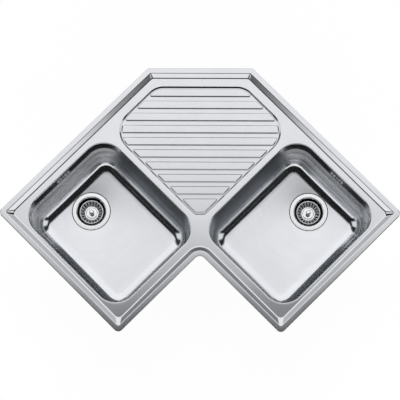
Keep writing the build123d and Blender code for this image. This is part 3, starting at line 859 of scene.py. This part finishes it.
def makeKnob(side):
    k = knob
    base, foot = k["floor"], k["stemFoot"]
    path = profilePath(
        (0, k["top"]),
        (k["round"] - k["domeEdge"], k["top"] - k["dome"], 2.2, 8),
        (k["round"], k["top"] - k["shoulder"], 2.0, 8),
        (k["round"] - k["under"], k["low"], 1.2, 6),
        (k["neck"], k["low"] - 0.5, 1.0, 4),
        (k["neck"], base + k["footRise"], 1.0, 4),
        (k["foot"], base + 1.1, 0.3, 3),
        (k["stem"], base + 0.2, 0.2, 2),
        (k["stem"], base - 1, 0.1, 1),
        (k["washer"], base - 1, 0.5, 3),
        (k["washer"], base - k["washerFoot"], 0.5, 3),
        (k["stem"], base - k["washerFoot"], 0.1, 1),
        (k["stem"], foot + 2, 0.5, 3),
        (k["stem"] - 1, foot, 0.5, 3),
        (0, foot))
    skin = Skin()
    skin.turned(atFloor(path), k["turnedIn"], drainPlace())
    skin.build(f"{side}Knob", finishes["polished_steel"], f"{side}_basket_unit",
               [f"{side}_basket_knob"], flip=True, mirrored=side == "right")


for side in sides:
    makeCup(side)
    makeBasket(side)
    makeKnob(side)
print("strainers made")

# carried pieces keep their CAD shape and get soft edges and their finish
softEdges = {"width": 0.0004, "segments": 2, "angle": radians(35), "weld": 1e-6}
madeHere = {"deck"}
for side in sides:
    madeHere |= {f"{side}_{piece}" for piece in ("bowl", "strainer_cup", "basket", "basket_knob")}
for entry in frame["record"]["subparts"]:
    if entry["node"] in madeHere:
        continue
    piece = nodes[entry["node"]]
    for place in piece.material_slots:
        place.material = finishes[entry["material_slot"]]
    if not piece.material_slots:
        piece.data.materials.append(finishes[entry["material_slot"]])
    weld = piece.modifiers.new("weld", "WELD")
    weld.merge_threshold = softEdges["weld"]
    bevel = piece.modifiers.new("edges", "BEVEL")
    bevel.width, bevel.segments = softEdges["width"], softEdges["segments"]
    bevel.limit_method, bevel.angle_limit = "ANGLE", softEdges["angle"]
    bevel.use_clamp_overlap = True
    piece.modifiers.new("normals", "WEIGHTED_NORMAL").keep_sharp = True
print("carried pieces finished")

# floor, light and camera
floor = {
    "z": -0.2835, "size": 14, "dark": (0.90, 0.90, 0.90), "light": (0.92, 0.92, 0.92), "clouds": 1.5,
    "rough": 0.9, "glow": 0.93, "glowShare": 0.86,
}


def makeFloor():
    half, z = floor["size"] / 2, floor["z"]
    corners = [(-half, -half, z), (half, -half, z), (half, half, z), (-half, half, z)]
    mesh = bpy.data.meshes.new("studioFloor")
    mesh.from_pydata(corners, [], [(0, 1, 2, 3)])
    ground = bpy.data.objects.new("studioFloor", mesh)
    bpy.context.collection.objects.link(ground)
    material, shader, place = newMaterial("paleFloor")
    put(shader, Base_Color=place.noise(floor["clouds"]).mix(floor["dark"], floor["light"]),
        Roughness=floor["rough"])
    # the eye, glass and metal see mostly an even glow, and a share of the shaded colour
    camera, glossy, through = place.node("ShaderNodeLightPath").outputs(
        "Is Camera Ray", "Is Glossy Ray", "Is Transmission Ray")
    share = camera.maths("MAXIMUM", glossy.maths("MAXIMUM", through)) * floor["glowShare"]
    glow = place.node("ShaderNodeEmission", None,
                      {"Color": (1, 1, 1, 1), "Strength": floor["glow"] / floor["glowShare"]})
    lit = Wire(place.tree, shader.outputs[0])
    both = place.node("ShaderNodeMixShader", None, {0: share, 1: lit, 2: glow})
    end = next(node for node in place.tree.nodes if node.type == "OUTPUT_MATERIAL")
    feed(end.inputs[0], both)
    mesh.materials.append(material)


# the sky's parts: how bright each is, and where its edges start and end
sky = {
    "panel": (1.22, 1.22, 1.2322), "panelStart": (0.105, 0.182), "panelSides": (0.06, -0.04),
    "panelWiden": 0.95, "panelLow": (0.2, 0.4),
    "wall": (1.3, 1.3, 1.3), "wallTop": (0.66, 0.58), "wallSides": (1.42, 1.28), "wallRear": (-0.02, -0.08),
    "ends": (1, 1, 1), "endsTop": (0.93, 0.86), "endsStart": (3, 4.2), "endsRear": (0.05, -0.05),
    "endsSlant": 0.3,
    "overhead": (0.0135, 0.015, 0.0162), "round": (0.117, 0.13, 0.1404), "roundTop": (0.6, 0.2),
    "under": (0.9, 0.9, 0.9), "underTop": (0.0, -0.1), "seen": (0.985, 0.985, 0.985),
    "leastUp": 0.05, "leastSouth": 0.02,
}


def makeWorld():
    # a wide soft panel overhead towards the wall, dark studio round it, and bright low walls
    world = bpy.data.worlds.new("softStudio")
    bpy.context.scene.world = world
    world.use_nodes = True
    tree = world.node_tree
    tree.nodes.clear()
    place = Wire(tree).node("ShaderNodeTexCoord", take=0)
    x, y, z = place.axes()
    up = z.maths("MAXIMUM", sky["leastUp"])
    north, side = y / up, (x / up).maths("ABSOLUTE")
    # the soft panel starts just north of overhead and widens to the north
    panel = north.smooth(*sky["panelStart"]) * (side - north * sky["panelWiden"]).smooth(*sky["panelSides"])
    panel = panel * z.smooth(*sky["panelLow"])
    # the bright wall stands in the south
    wide = x.maths("ABSOLUTE")
    aside = wide / (y * -1).maths("MAXIMUM", sky["leastSouth"])
    wall = z.smooth(*sky["wallTop"]) * aside.smooth(*sky["wallSides"]) * y.smooth(*sky["wallRear"])
    # and others beyond both ends of the sink
    ends = z.smooth(*sky["endsTop"]) * aside.smooth(*sky["endsStart"])
    ends = ends * (y - wide * sky["endsSlant"]).smooth(*sky["endsRear"])
    under = z.smooth(*sky["underTop"])
    colour = z.smooth(*sky["roundTop"]).mix(sky["overhead"], sky["round"])
    for name, part in {"ends": ends, "wall": wall, "panel": panel, "under": under}.items():
        colour = part.mix(colour, sky[name])
    # past the edge of the floor the eye sees nearly the same white
    colour = place.node("ShaderNodeLightPath").mix(colour, sky["seen"])
    light = place.node("ShaderNodeBackground", None, {"Color": colour, "Strength": 1.0})
    feed(tree.nodes.new("ShaderNodeOutputWorld").inputs[0], light)


view = {
    "lens": 170, "sensor": 36, "tilt": radians(79.4), "distance": 5.49, "roll": radians(0.19),
    "target": (0, -0.0045, 0), "clipEnd": 60,
}


def makeCamera():
    data = bpy.data.cameras.new("eye")
    data.lens = view["lens"]
    data.sensor_width = view["sensor"]
    data.clip_end = view["clipEnd"]
    eye = bpy.data.objects.new("eye", data)
    bpy.context.collection.objects.link(eye)
    back = Vector((0, -cos(view["tilt"]), sin(view["tilt"])))
    eye.location = Vector(view["target"]) + back * view["distance"]
    look = (-back).to_track_quat("-Z", "Y").to_matrix() @ Matrix.Rotation(view["roll"], 3, "Z")
    eye.rotation_euler = look.to_euler()
    bpy.context.scene.camera = eye


makeFloor()
makeWorld()
makeCamera()
bpy.context.scene.view_settings.view_transform = "Standard"
print("studio made")
